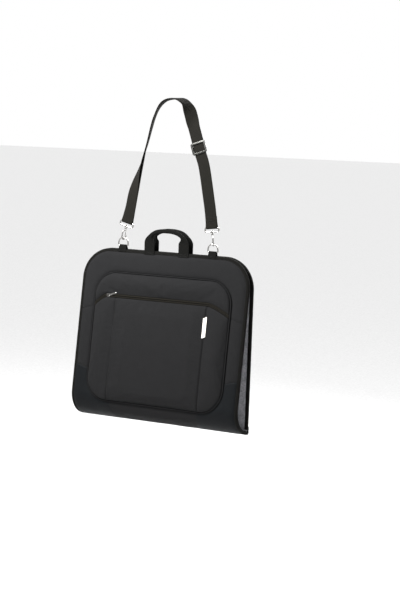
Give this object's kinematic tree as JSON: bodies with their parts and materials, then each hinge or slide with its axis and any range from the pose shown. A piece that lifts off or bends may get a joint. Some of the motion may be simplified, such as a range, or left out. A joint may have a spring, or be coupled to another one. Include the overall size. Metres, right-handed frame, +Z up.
{
  "type": "garment bag",
  "caption": "Bi-fold garment bag with a front zip pocket, twin carry handles and a webbing shoulder strap on swivel hooks, hanging from the strap's crest.",
  "frame": {"origin": "underside of the shoulder webbing at its crest, where it rests on a shoulder or a peg", "axes": "+Z up, +X across the bag to the right of the pocket face, -Y out of the pocket face"},
  "size_m": [0.575, 0.0937, 0.9688],
  "materials": {
    "shell_fabric": "charcoal woven polyester, matt with a slight sheen",
    "panel_fabric": "smoother coated polyester, dark blue grey",
    "trim_webbing": "olive black tape and webbing, fine rib",
    "strap_webbing": "brown grey ribbed webbing",
    "lining_fabric": "mid grey mottled lining",
    "foam": "open cell padding, hidden",
    "board": "thin flexible sheet, hidden",
    "nickel": "polished nickel plate",
    "gunmetal": "dark plated die casting",
    "badge_metal": "pale satin metal, blank",
    "coil_nylon": "black nylon coil"
  },
  "bodies": {
    "strap": {"shoulder_webbing": "strap_webbing", "swivel_loop_left": "nickel", "swivel_loop_right": "nickel"},
    "adjuster": {"slider_frame": "gunmetal", "slider_bar": "gunmetal", "sewn_tail": "strap_webbing"},
    "hook_left": {"hook_left_body": "nickel", "hook_left_stud": "nickel"},
    "gate_left": {"hook_left_gate": "nickel"},
    "hook_right": {"hook_right_body": "nickel", "hook_right_stud": "nickel"},
    "gate_right": {"hook_right_gate": "nickel"},
    "ring_left": {"d_ring_left": "nickel"},
    "ring_right": {"d_ring_right": "nickel"},
    "front_half": {"front_shell": "shell_fabric", "front_foam": "foam", "front_board": "board", "front_lining": "lining_fabric", "front_binding": "trim_webbing", "fold_piping": "trim_webbing", "pocket_upper_panel": "shell_fabric", "pocket_lower_panel": "shell_fabric", "pocket_piping": "trim_webbing", "pocket_zip_tape": "trim_webbing", "pocket_zip_coil": "coil_nylon", "badge_plate": "badge_metal", "corner_panel_left": "panel_fabric", "corner_panel_right": "panel_fabric", "front_handle_patch_left": "trim_webbing", "front_handle_patch_right": "trim_webbing", "ring_tab_left": "trim_webbing", "ring_tab_right": "trim_webbing"},
    "back_half": {"back_shell": "shell_fabric", "back_foam": "foam", "back_board": "board", "back_lining": "lining_fabric", "back_binding": "trim_webbing", "back_handle_patch_left": "trim_webbing", "back_handle_patch_right": "trim_webbing", "hanger_bracket": "board", "garment_strap_upper": "trim_webbing", "garment_strap_lower": "trim_webbing"},
    "handle_front": {"front_handle": "trim_webbing"},
    "handle_back": {"back_handle": "trim_webbing"},
    "zip_runner": {"zip_slider": "nickel"},
    "zip_puller": {"zip_pull": "nickel"}
  },
  "joints": [
    {"name": "left_hook_swivel", "type": "hinge", "parent": "strap", "child": "hook_left", "pos_m": [-0.16447, 0, -0.3905], "axis": [0.2419, 0, 0.9703], "range_deg": [-12, 66]},
    {"name": "left_gate_spring", "type": "hinge", "parent": "hook_left", "child": "gate_left", "pos_m": [-0.16509, 0.00283, -0.39924], "axis": [-0.8567, 0.4695, 0.2136], "range_deg": [0, 20], "stiffness_Nm_per_rad": 0.02, "springref_deg": -8.59},
    {"name": "right_hook_swivel", "type": "hinge", "parent": "strap", "child": "hook_right", "pos_m": [0.13571, 0, -0.3899], "axis": [-0.1219, 0, 0.9925], "range_deg": [-76, 4]},
    {"name": "right_gate_spring", "type": "hinge", "parent": "hook_right", "child": "gate_right", "pos_m": [0.13481, 0.00252, -0.3987], "axis": [-0.7821, -0.6157, -0.096], "range_deg": [0, 20], "stiffness_Nm_per_rad": 0.02, "springref_deg": -8.59},
    {"name": "strap_adjuster_slide", "type": "slide", "parent": "strap", "child": "adjuster", "axis": [0.3219, 0, -0.9468], "range_m": [-0.025, 0.025]},
    {"name": "left_ring_swing", "type": "hinge", "parent": "strap", "child": "ring_left", "pos_m": [-0.171, 0, -0.4167], "axis": [1, 0, 0], "range_deg": [-30, 30]},
    {"name": "bag_swing", "type": "hinge", "parent": "ring_left", "child": "front_half", "pos_m": [-0.171, 0, -0.4407], "axis": [1, 0, 0], "range_deg": [-30, 30]},
    {"name": "right_ring_swing", "type": "hinge", "parent": "front_half", "child": "ring_right", "pos_m": [0.139, 0, -0.4407], "axis": [1, 0, 0], "range_deg": [-30, 30]},
    {"name": "bifold", "type": "hinge", "parent": "front_half", "child": "back_half", "pos_m": [-0.016, 0.00508, -0.95968], "axis": [-1, 0, 0], "range_deg": [0, 170]},
    {"name": "front_handle_fold", "type": "hinge", "parent": "front_half", "child": "handle_front", "pos_m": [-0.016, -0.00607, -0.4525], "axis": [1, 0, 0], "range_deg": [0, 110]},
    {"name": "back_handle_fold", "type": "hinge", "parent": "back_half", "child": "handle_back", "pos_m": [-0.016, 0.0192, -0.4525], "axis": [-1, 0, 0], "range_deg": [0, 110]},
    {"name": "zip_slide", "type": "slide", "parent": "front_half", "child": "zip_runner", "axis": [1, 0, 0], "range_m": [0, 0.34]},
    {"name": "zip_pull_flip", "type": "hinge", "parent": "zip_runner", "child": "zip_puller", "pos_m": [-0.19975, -0.02949, -0.5907], "axis": [0, -0.1392, -0.9903], "range_deg": [0, 165]}
  ],
  "couplings": [
    {"joint": "right_ring_swing", "follows": "bag_swing", "ratio": -1}
  ]
}
